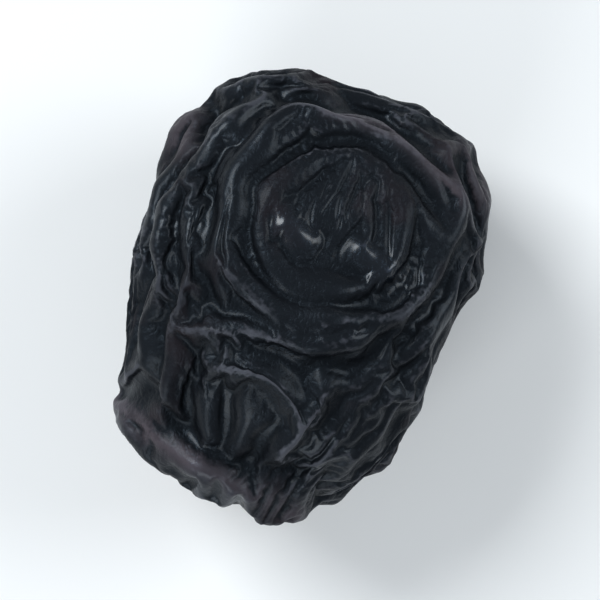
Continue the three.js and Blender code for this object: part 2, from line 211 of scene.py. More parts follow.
@dataclass(frozen=True)
class DateSkinFinish:
    """Near-black dried skin: painted shade darkening its hollows, grey lines on its crests that are partly
    pale dry skin and partly painted highlight, and a little red brown.

    Its colours come first, then the sizes of its marks and the depths of its relief, in millimetres.
    """

    # Painted shade: the hollows' colour is darker than the slopes' so that the hollows look shaded.
    shaded_hollow: Colour = (0.0022, 0.0026, 0.0034, 1)
    slope: Colour = (0.0050, 0.0056, 0.0070, 1)
    # Pale grey of the crest lines: partly the dry skin's own colour, partly a painted highlight.
    crest: Colour = (0.056, 0.057, 0.068, 1)
    thin: Colour = (0.014, 0.0068, 0.0074, 1)
    bloom: Colour = (0.040, 0.047, 0.060, 1)
    # Pale pinkish grey: the dry skin's own colour, also laid on as a painted highlight on the upper-left
    # shoulder and the upper rim.
    dry: Colour = (0.080, 0.065, 0.074, 1)
    sheen: Colour = (0.62, 0.80, 1.0, 1)
    cloud_size: float = 4.5
    break_size: float = 0.9
    grain_size: float = 0.4
    dust_size: float = 0.22
    speckle_size: float = 0.09
    puff_size: float = 0.42
    puff_depth: float = 0.022
    grain_depth: float = 0.05
    speckle_depth: float = 0.010

    def build(self) -> bpy.types.Material:
        """Makes the material.

        Returns:
            The material.
        """
        bench = NodeBench("date_skin")
        place = bench.place()
        clouds = bench.noise(place, self.cloud_size, 3.0)
        grain = bench.noise(place, self.grain_size, 4.0)
        wear_and_highlight = bench.measured("worn_and_highlit")
        broken = bench.noise(place, self.break_size, 3.0)
        line = bench.measured("line") + (grain - 0.5) * 0.4 + (broken - 0.5) * 0.35 + 0.05 * wear_and_highlight
        # Sharp crest lines paled to grey: partly dry skin, partly painted highlight on every crest.
        worn_and_highlit = line.step(0.74, 1.0)
        gloss = bench.measured("gloss")
        roughness = 0.31 + 0.15 * grain + 0.14 * clouds.step(0.35, 0.65) + 0.08 * worn_and_highlit - 0.16 * gloss
        bench.wire(
            Base_Color=self.colour(bench, place, clouds, grain, worn_and_highlit * self.paling(clouds, wear_and_highlight)),
            Roughness=roughness,
            Coat_Weight=0.05 + 0.12 * clouds.step(0.52, 0.34) * (1 - worn_and_highlit) + 0.8 * gloss,
            Normal=self.relief(bench, place, clouds, grain),
        )
        bench.set(Coat_Roughness=0.2, Specular_IOR_Level=0.19, IOR=1.45)
        bench.set(Specular_Tint=self.sheen, Coat_Tint=self.sheen)
        return bench.material

    def paling(self, clouds: Signal, wear_and_highlight: Signal) -> Signal:
        """How pale a crest line is, as pale dry skin and as painted highlight: more where the clouds are
        thin, and most on the marked crests.
        """
        return 0.4 + 0.4 * clouds.step(0.65, 0.35) + 0.35 * wear_and_highlight

    def colour(
        self, bench: NodeBench, place: Signal, clouds: Signal, grain: Signal, paled: Signal
    ) -> Signal:
        """Lays the skin's colours over each other.

        Args:
            bench: The bench of the material.
            place: The point's place in millimetres.
            clouds: Broad noise.
            grain: Fine noise.
            paled: How much of the crests' grey shows, partly pale dry skin and partly painted highlight.

        Returns:
            The colour.
        """
        crest = bench.measured("crest")
        height = crest * 0.6 + bench.measured("fold") * 0.4 + (grain - 0.5) * 0.3
        # Pale dry skin, partly painted highlight: where the pale patches reach high places.
        dry = bench.measured("dry") * (crest + (grain - 0.5) * 0.8).step(0.25, 0.75)
        dusty = bench.noise(place, self.dust_size, 2.0).step(0.62, 0.8) * clouds.step(0.6, 0.4)
        # Painted shade: low places on the skin take the darker hollow colour, high places the slope colour.
        colour = bench.mix(height.step(0.2, 0.65), self.shaded_hollow, self.slope)
        layers = (
            (clouds.step(0.52, 0.72) * height.step(0.3, 0.7) * 0.5, self.thin),
            # Painted highlight, with pale dry skin: the crest lines take the grey crest colour.
            (paled, self.crest),
            (dry * 0.7, self.dry),
            (dusty * 0.3, self.bloom),
        )
        for share, layer in layers:
            colour = bench.mix(share, colour, layer)
        return colour

    def relief(self, bench: NodeBench, place: Signal, clouds: Signal, grain: Signal) -> Signal:
        """Bends the normal by the skin's finest relief: puffed cells, grain and speckle.

        Args:
            bench: The bench of the material.
            place: The point's place in millimetres.
            clouds: Broad noise.
            grain: Fine noise.

        Returns:
            The bent normal.
        """
        drawn = bench.stretched(bench.warped(place, 0.8, 0.5), (1.0, 0.55, 1.0))
        below_crests = 1 - 0.6 * bench.measured("crest").step(0.5, 0.9)
        puffs = bench.net(drawn, self.puff_size).step(0.0, 0.3) * below_crests
        normal = bench.bump(puffs * (0.4 + 0.6 * clouds.step(0.35, 0.6)), self.puff_depth)
        normal = bench.bump(grain, self.grain_depth, normal)
        return bench.bump(bench.noise(place, self.speckle_size, 1.0), self.speckle_depth, normal)


@dataclass(frozen=True)
class DryCalyxFinish:
    """Dry, matt orange-brown fibre: paler on its ribs and papery edges, darker to the middle.

    Its colours come first, then the sizes of its marks and the depths of its relief, in millimetres.
    """

    groove: Colour = (0.034, 0.0135, 0.0055, 1)
    rib: Colour = (0.20, 0.088, 0.034, 1)
    edge: Colour = (0.27, 0.155, 0.075, 1)
    stain: Colour = (0.016, 0.0075, 0.0045, 1)
    cloud_size: float = 1.6
    stain_size: float = 2.0
    grain_size: float = 0.14
    strand_size: float = 0.16
    strand_draw: float = 0.1
    strand_depth: float = 0.07
    grain_depth: float = 0.03

    def build(self) -> bpy.types.Material:
        """Makes the material.

        Returns:
            The material.
        """
        bench = NodeBench("dry_calyx")
        place = bench.place()
        clouds = bench.noise(place, self.cloud_size, 4.0)
        drawn = bench.spread(bench.measured("turn"), bench.measured("out") * self.strand_draw)
        strands = bench.noise(drawn, self.strand_size, 4.0)
        ribs = bench.measured("rib")
        height = ribs * 0.3 + (strands - 0.5) * 1.6 + (clouds - 0.5) * 1.4 + 0.45
        papery = bench.measured("rim") + (clouds - 0.5) * 0.3
        stained = bench.measured("deep") + (bench.noise(place, self.stain_size, 5.0) - 0.5) * 2.6
        colour = bench.mix(height.step(0.1, 0.95), self.groove, self.rib)
        colour = bench.mix(papery.step(0.84, 1.02) * 0.6, colour, self.edge)
        colour = bench.mix(stained.step(0.25, 0.95) * 0.8, colour, self.stain)
        normal = bench.bump(strands, self.strand_depth)
        normal = bench.bump(bench.noise(place, self.grain_size, 4.0), self.grain_depth, normal)
        bench.wire(Base_Color=colour, Roughness=0.66 + 0.25 * strands, Normal=normal)
        bench.set(Specular_IOR_Level=0.3)
        return bench.material


@dataclass(frozen=True)
class PaleFloorFinish:
    """Smooth white board, slightly mottled in its roughness."""

    board: Colour = (0.86, 0.86, 0.86, 1)
    mottle_size: float = 30.0

    def build(self) -> bpy.types.Material:
        """Makes the material.

        Returns:
            The material.
        """
        bench = NodeBench("pale_board")
        mottle = bench.noise(bench.place(), self.mottle_size, 1.0)
        bench.wire(Roughness=0.8 + 0.1 * mottle)
        bench.set(Base_Color=self.board, Specular_IOR_Level=0.2)
        return bench.material


class Noise:
    """Smooth, repeatable noise over space, built up from plane waves."""

    WAVES = 14

    def __init__(self, grain: float, seed: int) -> None:
        """Draws the waves.

        Args:
            grain: About how far apart the noise's clouds are, in millimetres.
            seed: The number that the draw starts from.
        """
        draw = np.random.default_rng(seed)
        ways = draw.normal(size=(self.WAVES, 3))
        ways /= np.linalg.norm(ways, axis=1, keepdims=True)
        self.waves = ways * (2 * math.pi / grain) * draw.uniform(0.6, 1.25, (self.WAVES, 1))
        self.phases = draw.uniform(0, 2 * math.pi, self.WAVES)

    def at(self, points: np.ndarray) -> np.ndarray:
        """The noise, mostly from -1 to 1, at places in millimetres, one a row."""
        return np.sin(points @ self.waves.T + self.phases).sum(1) / math.sqrt(self.WAVES)


def smooth_step(values: np.ndarray, low: float, high: float) -> np.ndarray:
    """A smooth step from 0 to 1 as values go from low to high."""
    share = np.clip((values - low) / (high - low), 0, 1)
    return share * share * (3 - 2 * share)


def bell(distances: np.ndarray, width: float) -> np.ndarray:
    """A rounded bell: 1 at no distance, and almost nothing past twice the width."""
    return np.exp(-((distances / width) ** 2))


def distance_to(path: tuple[tuple[float, float], ...], points: np.ndarray) -> np.ndarray:
    """How far points are from a path, as seen from above.

    Args:
        path: The corners of the path.
        points: Places, one a row.

    Returns:
        A distance for each, in the same unit.
    """
    nearest = np.full(len(points), np.inf)
    for start, end in zip(path[:-1], path[1:]):
        along = np.subtract(end, start)
        share = np.clip((points[:, :2] - start) @ along / (along @ along), 0, 1)
        apart = points[:, :2] - (start + share[:, None] * along)
        nearest = np.minimum(nearest, np.hypot(apart[:, 0], apart[:, 1]))
    return nearest


def unit(vectors: np.ndarray) -> np.ndarray:
    """The vectors at a length of 1."""
    return vectors / np.maximum(np.linalg.norm(vectors, axis=-1, keepdims=True), 1e-9)


def reach_along(vectors: np.ndarray, normals: np.ndarray) -> np.ndarray:
    """How far each vector reaches along its normal."""
    return np.einsum("ij,ij->i", vectors, normals)


def laid_flat(vectors: np.ndarray, normals: np.ndarray) -> np.ndarray:
    """The vectors without their part along the normals."""
    return vectors - normals * reach_along(vectors, normals)[:, None]


def round_places(radius: np.ndarray | float, angle: np.ndarray, height: np.ndarray | float) -> np.ndarray:
    """Places by their radius, angle and height, with the three coordinates of each last."""
    parts = (radius * np.cos(angle), radius * np.sin(angle), height)
    return np.stack(np.broadcast_arrays(*parts), axis=-1)


def put_in_scene(name: str, data: bpy.types.ID) -> bpy.types.Object:
    """Makes an object in the scene.

    Args:
        name: The object's name.
        data: Its mesh, light or camera.

    Returns:
        The object.
    """
    made = bpy.data.objects.new(name, data)
    bpy.context.scene.collection.objects.link(made)
    return made


@dataclass
class ClosedSkin:
    """A closed skin of faces that share their corners, in millimetres.

    It has a row for each point, and for each face a row of the points at its corners.
    """

    points: np.ndarray
    faces: np.ndarray

    LOOP_ENDS = 0.375
    LOOP_ACROSS = 0.125

    @classmethod
    def of_node(cls, name: str) -> "ClosedSkin":
        """Copies a CAD node's skin, with its doubled corners joined.

        Args:
            name: The node's name.

        Returns:
            The copy.
        """
        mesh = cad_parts[name].data
        places = np.empty(3 * len(mesh.vertices))
        mesh.vertices.foreach_get("co", places)
        corners = np.empty(3 * len(mesh.polygons), int)
        mesh.polygons.foreach_get("vertices", corners)
        places = places.reshape(-1, 3) / MM
        _, first, same = np.unique(
            np.round(places, 4), axis=0, return_index=True, return_inverse=True
        )
        return cls(places[first], same.ravel()[corners].reshape(-1, 3))

    @cached_property
    def sides(self) -> np.ndarray:
        """The sides of all the triangles, each as its two ends and the corner across from it."""
        turned = [np.roll(self.faces, -turn, axis=1) for turn in range(3)]
        return np.concatenate(turned)

    @cached_property
    def joined(self) -> np.ndarray:
        """The points that each point is joined to.

        Returns:
            A row for each point, filled up with the point itself.
        """
        ends = np.sort(self.sides[:, :2], axis=1)
        ends = np.unique(ends, axis=0)
        both = np.concatenate([ends, ends[:, ::-1]])
        both = both[np.argsort(both[:, 0], kind="stable")]
        counts = np.bincount(both[:, 0], minlength=len(self.points))
        starts = np.concatenate([[0], np.cumsum(counts)[:-1]])
        table = np.repeat(np.arange(len(self.points))[:, None], counts.max(), axis=1)
        table[both[:, 0], np.arange(len(both)) - starts[both[:, 0]]] = both[:, 1]
        return table

    def normals(self) -> np.ndarray:
        """The outward direction at each point.

        Returns:
            A direction with a length of 1 for each.
        """
        corners = self.points[self.faces]
        across = np.cross(corners[:, 1] - corners[:, 0], corners[:, 2] - corners[:, 0])
        total = np.zeros_like(self.points)
        for corner in range(3):
            for axis in range(3):
                total[:, axis] += np.bincount(
                    self.faces[:, corner], across[:, axis], len(self.points)
                )
        return unit(total)

    def unevenness(self, values: np.ndarray) -> np.ndarray:
        """How far the values at the points lie from the mean of those that they are joined to."""
        return values[self.joined].mean(axis=1) - values

    def smoothed(self, values: np.ndarray, rounds: int) -> np.ndarray:
        """The values evened out over the skin.

        Args:
            values: A value, or a row of them, for each point.
            rounds: How often each point takes the mean of those that it is joined to.

        Returns:
            The smooth values.
        """
        for _ in range(rounds):
            values = values + self.unevenness(values)
        return values

    def finer(self) -> "ClosedSkin":
        """The skin with each triangle cut into four and rounded off, by Loop's rule.

        Returns:
            The finer skin.
        """
        ends = np.sort(self.sides[:, :2], axis=1)
        pairs, side_of = np.unique(ends, axis=0, return_inverse=True)
        side_of = side_of.ravel()
        middles = self.LOOP_ENDS * self.points[pairs].sum(axis=1)
        for axis in range(3):
            middles[:, axis] += self.LOOP_ACROSS * np.bincount(
                side_of, self.points[self.sides[:, 2], axis], len(pairs)
            )
        count = len(self.points)
        kept = self.points + self.LOOP_ENDS * self.unevenness(self.points)
        first, second, third = side_of.reshape(3, -1) + count
        one, two, three = self.faces.T
        faces = np.concatenate([
            np.stack([one, first, third], 1),
            np.stack([two, second, first], 1),
            np.stack([three, third, second], 1),
            np.stack([first, second, third], 1),
        ])
        return ClosedSkin(np.concatenate([kept, middles]), faces)

    def to_object(self, name: str, values: dict[str, np.ndarray]) -> bpy.types.Object:
        """Makes a smooth-shaded Blender object of the skin, in metres.

        Args:
            name: The object's name.
            values: A value for each point, by the name that the shader reads it under.

        Returns:
            The object, in the scene.
        """
        mesh = bpy.data.meshes.new(name)
        mesh.from_pydata((self.points * MM).tolist(), [], self.faces.tolist())
        mesh.polygons.foreach_set("use_smooth", [True] * len(mesh.polygons))
        for key, numbers in values.items():
            mesh.attributes.new(key, "FLOAT", "POINT").data.foreach_set("value", numbers)
        return put_in_scene(name, mesh)


@dataclass(frozen=True)
class FoldRound:
    """One round of folding, in which folds of one size grow all over the skin.

    Its spacing is in millimetres. What the skin has to spare is a share of its own width, across
    the folds and along them. The strengths are for a side between two points as a spring of 1.
    """

    spacing: float
    spare_across: float
    spare_along: float
    dish_calm: float
    steps: int
    seed: int
    growing_share: float = 0.8
    first_ripple: float = 0.02
    ripple_rounds: int = 3
    bending: float = 0.12
    grip: float = 0.6
    crest_hold: float = 2.5
    pace: float = 0.4
    damping: float = 0.86


@dataclass
class FoldWays:
    """The two ways in the skin that folds take at each point, and the share of the second one."""

    lengthwise: np.ndarray
    round_dish: np.ndarray
    share: np.ndarray

    def along(self, joined: np.ndarray, directions: np.ndarray) -> np.ndarray:
        """How far the sides that leave each point run with the folds.

        Args:
            joined: The points at the far ends of the sides, a row for each point.
            directions: The sides' directions, at a length of 1.

        Returns:
            A value for each side, from 0 across the folds to 1 along them.
        """
        shares = 0.5 * (self.share[joined] + self.share[:, None])
        total = np.zeros(joined.shape)
        for ways, part in ((self.lengthwise, 1 - shares), (self.round_dish, shares)):
            here = np.einsum("ijk,ik->ij", directions, ways) ** 2
            there = np.einsum("ijk,ijk->ij", directions, ways[joined]) ** 2
            total += part * 0.5 * (here + there)
        return total


@dataclass
class FoldingSkin:
    """Skin that has grown too wide for the flesh below it, and buckles into folds.

    Its spare is how much it may grow at each point, 1 being the round's full share.
    """

    skin: ClosedSkin
    spare: np.ndarray
    ways: FoldWays

    def fold(self, work: FoldRound) -> ClosedSkin:
        """Grows the skin step by step, and lets it find its shape.

        Each side of a triangle is a spring whose free length grows, the skin resists bending,
        and the flesh holds it back, more firmly against a crest than against a dent.

        Args:
            work: The size and strength of the folds.

        Returns:
            The folded skin.
        """
        flesh = self.skin.points
        joined = self.skin.joined
        normals = self.skin.normals()
        ways = flesh[joined] - flesh[:, None]
        lengths = np.linalg.norm(ways, axis=2)
        real = lengths > 0
        reach = work.spacing / (math.pi * lengths[real].mean())
        inward = work.bending / reach**4
        outward = inward * work.crest_hold
        grip = outward * work.grip

        along = self.ways.along(joined, unit(ways))
        spare = 0.5 * (self.spare[joined] + self.spare[:, None])
        growth = spare * (work.spare_across + (work.spare_along - work.spare_across) * along)

        draw = np.random.default_rng(work.seed)
        ripple = self.skin.smoothed(draw.normal(size=len(flesh)), work.ripple_rounds) * work.first_ripple
        shift = normals * (ripple * work.spacing)[:, None]
        speed = np.zeros_like(flesh)
        for step in range(work.steps):
            grown = min(step / (work.growing_share * work.steps), 1.0)
            place = flesh + shift
            way = place[joined] - place[:, None]
            now = np.sqrt(np.einsum("ijk,ijk->ij", way, way))
            pull = 1 - lengths * (1 + growth * grown) / np.where(real, now, 1)
            force = np.einsum("ijk,ij->ik", way, pull)
            force -= work.bending * self.skin.unevenness(self.skin.unevenness(shift))
            height = reach_along(shift, normals)
            hold = np.where(height < 0, inward, outward) - grip
            force -= normals * (hold * height)[:, None] + grip * shift
            speed = (speed + work.pace * force) * work.damping
            shift += work.pace * speed
            shift[:, 2] = np.maximum(shift[:, 2], -flesh[:, 2])
        return ClosedSkin(flesh + shift, self.skin.faces)


@dataclass
class StemEnd:
    """Where the calyx cap sits, worked out from its CAD node, in millimetres."""

    seat_curve: float = 26.0
    middle_radius: float = 1.0
    depth: float = 6.0

    @cached_property
    def cap(self) -> np.ndarray:
        """The corners of the cap's CAD node."""
        return ClosedSkin.of_node("calyx_cap").points

    @cached_property
    def axes(self) -> np.ndarray:
        """The cap's own directions.

        Returns:
            Across the cap, up its face and out of it, one a row.
        """
        low, high = (np.array(corner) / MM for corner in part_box("date_fruit"))
        _, _, ways = np.linalg.svd(self.cap - self.cap.mean(axis=0))
        out = ways[2] * np.sign(ways[2] @ (self.cap.mean(axis=0) - (low + high) / 2))
        across = unit(np.cross(UP, out))
        return np.stack([across, np.cross(out, across), out])

    @cached_property
    def centre(self) -> np.ndarray:
        """The middle of the cap's underside.

        Returns:
            Its place.
        """
        middle = self.cap.mean(axis=0)
        local = (self.cap - middle) @ self.axes.T
        near = np.hypot(local[:, 0], local[:, 1]) < self.middle_radius
        return middle + self.axes[2] * local[near, 2].min()

    def local(self, points: np.ndarray) -> np.ndarray:
        """Places as across, up and out from the middle of the cap's underside."""
        return (points - self.centre) @ self.axes.T

    def world(self, local: np.ndarray) -> np.ndarray:
        """The places of points given as across, up and out."""
        return self.centre + local @ self.axes

    def seat(self, radius: np.ndarray) -> np.ndarray:
        """How far out the cap's underside is at a distance from its middle."""
        return -(radius**2) / (2 * self.seat_curve)


@dataclass(frozen=True)
class CalmSpot:
    """A place where the skin folds less than elsewhere, by a share of 0 to 1, in millimetres."""

    centre: tuple[float, float, float]
    radius: float
    share: float


@dataclass(frozen=True)
class SkinPath:
    """A path over the upper face, as seen from above, where the skin differs, in millimetres."""

    path: tuple[tuple[float, float], ...]
    width: float
    amount: float


@dataclass(frozen=True)
class Dish:
    """The ringed dish in the upper face, as seen from above.

    Its place and sizes are in millimetres, and where its middle and rings end is a share of them.
    """

    centre: tuple[float, float] = (1.1, 5.25)
    half_width: float = 7.2
    half_length: float = 6.6
    upper_face: float = 9.0
    calm_width: float = 0.8
    middle_end: tuple[float, float] = (0.5, 0.9)
    rings_start: tuple[float, float] = (0.3, 0.8)
    rings_end: float = 1.2
    rings_fade: float = 0.5

    def share(self, points: np.ndarray) -> np.ndarray:
        """How far points are from the dish's centre, as a share of its half sizes."""
        across, along = (points[:, :2] - self.centre).T
        return np.hypot(across / self.half_width, along / self.half_length)

    def above(self, points: np.ndarray, start: float = 0.0, depth: float = 4.0) -> np.ndarray:
        """How surely points are on the upper face: 0 below the step's start, and 1 past its depth."""
        low = self.upper_face + start
        return smooth_step(points[:, 2], low, low + depth)

    def in_middle(self, points: np.ndarray) -> np.ndarray:
        """How surely points are in the dish's middle, from 0 to 1."""
        return 1 - smooth_step(self.share(points), *self.middle_end)

    def on_rings(self, points: np.ndarray) -> np.ndarray:
        """How surely points are on the dish's rings, and not in its middle or past them.

        Args:
            points: Places on the skin.

        Returns:
            A value for each, from 0 to 1.
        """
        share = self.share(points)
        past = np.maximum(share - self.rings_end, 0)
        return smooth_step(share, *self.rings_start) * bell(past, self.rings_fade)


@dataclass(frozen=True)
class Drift:
    """Smooth noise in all three directions."""

    grain: float
    reach: float
    seeds: tuple[int, int, int]

    def at(self, points: np.ndarray) -> np.ndarray:
        """The push at each point, before it is taken times the reach."""
        return np.stack([Noise(self.grain, seed).at(points) for seed in self.seeds], axis=1)


@dataclass
class DateFruit:
    """The fruit: flesh and folded skin in one piece, in millimetres."""

    stem: StemEnd
    dish: Dish = Dish()
    tip: tuple[float, float, float] = (0.6, 14.4, 9.0)
    seat_radius: float = 4.4
    seat_margin: float = 1.0
    wide_margin: float = 2.0
    pucker: float = 0.6
    pucker_radius: float = 6.6
    pucker_width: float = 1.5
    patchiness: float = 0.3
    patch_grain: float = 6.0
    patch_seed: int = 3
    calm_spots: tuple[CalmSpot, ...] = (
        CalmSpot(centre=(3.3, -5.8, 17.6), radius=4.5, share=0.35),
        CalmSpot(centre=(-2.5, -2.8, 18.8), radius=3.5, share=0.5),
        CalmSpot(centre=(-8.2, -9.3, 12.8), radius=2.8, share=0.75),
        CalmSpot(centre=(-4.9, -10.9, 14.3), radius=2.6, share=0.7),
        CalmSpot(centre=(-1.4, 4.2, 17.9), radius=1.4, share=0.6),
        CalmSpot(centre=(4.0, 3.3, 17.9), radius=1.4, share=0.6),
    )
    dish_bumps: tuple[SkinPath, ...] = (
        SkinPath(((-2.1, 4.5), (-0.4, 3.7)), width=0.7, amount=0.16),
        SkinPath(((3.2, 3.7), (4.9, 2.9)), width=0.8, amount=0.16),
    )
    lip_relief: tuple[SkinPath, ...] = (
        SkinPath(((-9.6, -9.1), (-7.2, -10.4), (-4.6, -11.2), (-2.0, -11.9)), width=0.8, amount=0.22),
        SkinPath(((-8.8, -7.4), (-6.3, -8.8), (-3.9, -9.7), (-1.5, -10.4)), width=0.6, amount=-0.3),
    )
    # Crest lines painted paler: partly rubbed skin, partly painted highlight along the cross fold, the Y fold
    # and the upper rim's arc.
    worn_and_highlit_crests: tuple[SkinPath, ...] = (
        SkinPath(((-6.5, -3.4), (3.0, -1.7)), width=0.9, amount=1.0),
        SkinPath(((-3.3, -4.9), (0.1, -5.8), (1.5, -7.6), (0.6, -10.2)), width=0.8, amount=1.0),
        SkinPath(((2.4, -5.2), (1.5, -7.6)), width=0.8, amount=0.8),
        SkinPath(((-5.4, 2.5), (-2.4, -0.4), (2.1, -1.2)), width=0.9, amount=0.7),
        SkinPath(((-0.9, 12.1), (3.2, 11.7), (5.0, 10.9), (8.0, 8.7)), width=0.9, amount=1.5),
    )
    # Pale dry skin on the lip, the lower edge and the right shoulder; painted highlights on the upper-left
    # shoulder and along the upper rim's arc.
    dry_and_highlit_patches: tuple[SkinPath, ...] = (
        SkinPath(((-9.9, -8.9), (-7.2, -10.4), (-4.6, -11.2)), width=0.75, amount=1.0),
        SkinPath(((-4.0, -11.5), (3.1, -13.5)), width=0.8, amount=0.6),
        SkinPath(((8.6, 10.9), (9.6, 9.2)), width=1.4, amount=0.8),
        SkinPath(((-9.8, 10.2), (-9.8, 8.2)), width=1.0, amount=0.8),
        SkinPath(((-0.9, 12.1), (3.2, 11.7), (5.0, 10.9), (8.0, 8.7)), width=0.5, amount=0.75),
    )
    first_rounds: int = 2
    ridge_rounds: int = 24
    ridge_reach: float = 2.5
    edge_height: float = 0.22
    edge_grain: float = 3.0
    edge_seed: int = 17
    drawn_in: float = 0.08
    dish_rounds: int = 20
    dish_softness: float = 0.55
    sway: Drift = Drift(grain=9.0, reach=0.4, seeds=(21, 22, 23))
    stray: Drift = Drift(grain=5.0, reach=0.3, seeds=(5, 8, 6))
    rounds: tuple[FoldRound, ...] = (
        FoldRound(spacing=1.7, spare_across=0.11, spare_along=0.03, dish_calm=0.75, steps=320, seed=7),
        FoldRound(spacing=0.8, spare_across=0.11, spare_along=0.05, dish_calm=0.3, steps=240, seed=11),
    )
    near_rounds: int = 14
    far_rounds: int = 130
    finish: DateSkinFinish = DateSkinFinish()

    def freedom(self, points: np.ndarray, dish_calm: float) -> np.ndarray:
        """How free the skin is to fold: not at all under the cap, most round it, less in the dish.

        Args:
            points: Places on the skin.
            dish_calm: How much the middle of the dish is held back, from 0 to 1.

        Returns:
            A value for each, 1 being as free as the skin of the sides.
        """
        local = self.stem.local(points)
        round_seat = bell(np.hypot(local[:, 0], local[:, 1]) - self.pucker_radius, self.pucker_width)
        free = self.off_seat(points, self.seat_margin)
        free *= 1 + self.pucker * round_seat * (local[:, 2] > -self.stem.depth)
        middle = bell(self.dish.share(points), self.dish.calm_width)
        free *= 1 - dish_calm * self.dish.above(points) * middle
        for spot in self.calm_spots:
            free *= 1 - spot.share * bell(np.linalg.norm(points - spot.centre, axis=1), spot.radius)
        patches = Noise(self.patch_grain, self.patch_seed).at(points)
        return free * np.clip(1 + self.patchiness * patches, 0, 2)

    def ways(self, skin: ClosedSkin) -> FoldWays:
        """The ways that folds take: from the stem end to the tip, and round the dish by its rings.

        Args:
            skin: The skin that is about to fold.

        Returns:
            Both ways at each of its points, laid into the skin.
        """
        points = skin.points
        normals = skin.normals()
        from_stem = points - self.stem.centre
        to_tip = np.array(self.tip) - points
        lengthwise = unit(
            from_stem / (from_stem**2).sum(axis=1, keepdims=True)
            + to_tip / (to_tip**2).sum(axis=1, keepdims=True)
        )
        lengthwise += self.stray.reach * self.stray.at(points)
        round_dish = np.stack([
            self.dish.centre[1] - points[:, 1],
            points[:, 0] - self.dish.centre[0],
            np.zeros(len(points)),
        ], axis=1)
        laid = [unit(laid_flat(way, normals)) for way in (lengthwise, round_dish)]
        return FoldWays(*laid, self.dish.above(points, depth=3) * self.dish.on_rings(points))

    def painted(self, paths: tuple[SkinPath, ...], points: np.ndarray) -> np.ndarray:
        """How much of the paths' amounts reaches points on the upper face."""
        return self.dish.above(points, start=-1, depth=3) * sum(
            each.amount * bell(distance_to(each.path, points), each.width) for each in paths
        )

    def off_seat(self, points: np.ndarray, margin: float) -> np.ndarray:
        """Where points stand off the calyx cap's seat.

        Args:
            points: Places on the skin.
            margin: How far past the seat's edge a point is fully off it.

        Returns:
            A value for each, from 0 on the seat to 1 off it.
        """
        local = self.stem.local(points)
        radius = np.hypot(local[:, 0], local[:, 1])
        off = smooth_step(radius, self.seat_radius, self.seat_radius + margin)
        return np.where(local[:, 2] > -self.stem.depth, off, 1.0)

    def swayed(self, skin: ClosedSkin) -> ClosedSkin:
        """The skin with its relief pushed sideways here and there, and softer in the dish.

        Args:
            skin: The skin with its broad ridges alone.

        Returns:
            The skin on which no ring is a true circle.
        """
        normals = skin.normals()
        calm = skin.smoothed(skin.points, self.dish_rounds)
        softened = self.dish_softness * self.dish.above(skin.points) * self.dish.in_middle(skin.points)
        points = skin.points + (calm - skin.points) * softened[:, None]
        points += normals * self.painted(self.dish_bumps + self.lip_relief, points)[:, None]
        push = laid_flat(self.sway.at(points), normals)
        points += push * (self.sway.reach * self.off_seat(points, self.wide_margin))[:, None]
        return ClosedSkin(points, skin.faces)

    def sharpened(self, skin: ClosedSkin) -> ClosedSkin:
        """The skin with a narrow edge raised along each of its broad ridges.

        Args:
            skin: The skin with its broad ridges alone.

        Returns:
            The skin with its ridges sharpened, and slightly drawn in all over.
        """
        normals = skin.normals()
        broad = skin.smoothed(skin.points, self.ridge_rounds)
        height = reach_along(skin.points - broad, normals)
        ridge = np.clip(height / (self.ridge_reach * height.std()), 0, 1) ** 3
        unevenness = 0.6 + 0.4 * Noise(self.edge_grain, self.edge_seed).at(skin.points)
        raised = self.edge_height * ridge * unevenness - self.drawn_in
        raised *= self.off_seat(skin.points, self.wide_margin)
        points = skin.points + normals * raised[:, None]
        points[:, 2] = np.maximum(points[:, 2], 0)
        return ClosedSkin(points, skin.faces)

    def skin(self) -> ClosedSkin:
        """Folds the skin of the CAD node ever finer.

        Returns:
            The folded skin.
        """
        skin = ClosedSkin.of_node("date_fruit").finer()
        skin = self.swayed(ClosedSkin(skin.smoothed(skin.points, self.first_rounds), skin.faces))
        skin = self.sharpened(skin)
        for number, work in enumerate(self.rounds):
            if number > 0:
                skin = skin.finer()
            free = self.freedom(skin.points, work.dish_calm)
            skin = FoldingSkin(skin, free, self.ways(skin)).fold(work)
            log.info("folded the skin at %.2f mm: %d faces", work.spacing, len(skin.faces))
        return skin

    def measures(self, skin: ClosedSkin) -> dict[str, np.ndarray]:
        """The values that the finish reads at each point, from 0 to 1.

        Args:
            skin: The folded skin.

        Returns:
            How sharply it bends outwards ("line"), how far it stands out of its neighbourhood, fine
            ("crest") and broad ("fold"), where its crests are paled as rubbed skin and as painted highlight,
            where it has pale dry skin and painted highlights, and where it is bumped in the dish.
        """
        normals = skin.normals()
        near = skin.smoothed(skin.points, self.near_rounds)
        far = skin.smoothed(near, self.far_rounds)
        sides = np.linalg.norm(skin.points[skin.joined] - skin.points[:, None], axis=2)
        curvature = -skin.unevenness(skin.points) / (sides**2).mean(axis=1, keepdims=True)
        heights = {
            "line": skin.smoothed(curvature, 1),
            "crest": skin.points - near,
            "fold": near - far,
        }
        values = {}
        for name, height in heights.items():
            out = reach_along(height, normals)
            values[name] = np.clip(0.5 + out / (4 * out.std()), 0, 1)
        # Painted highlights as well as rubbed and dry skin: the paths' paler crests and pale patches.
        values["worn_and_highlit"] = np.clip(self.painted(self.worn_and_highlit_crests, skin.points), 0, 1.5)
        values["dry"] = np.clip(self.painted(self.dry_and_highlit_patches, skin.points), 0, 1)
        values["gloss"] = np.clip(6 * self.painted(self.dish_bumps, skin.points), 0, 1)
        return values

    def build(self) -> bpy.types.Object:
        """Makes the fruit in place of its CAD node.

        Returns:
            The fruit.
        """
        skin = self.skin()
        fruit = skin.to_object("date_fruit_skin", self.measures(skin))
        fruit.data.materials.append(self.finish.build())
        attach(fruit, "root")
        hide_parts("date_fruit")
        return fruit


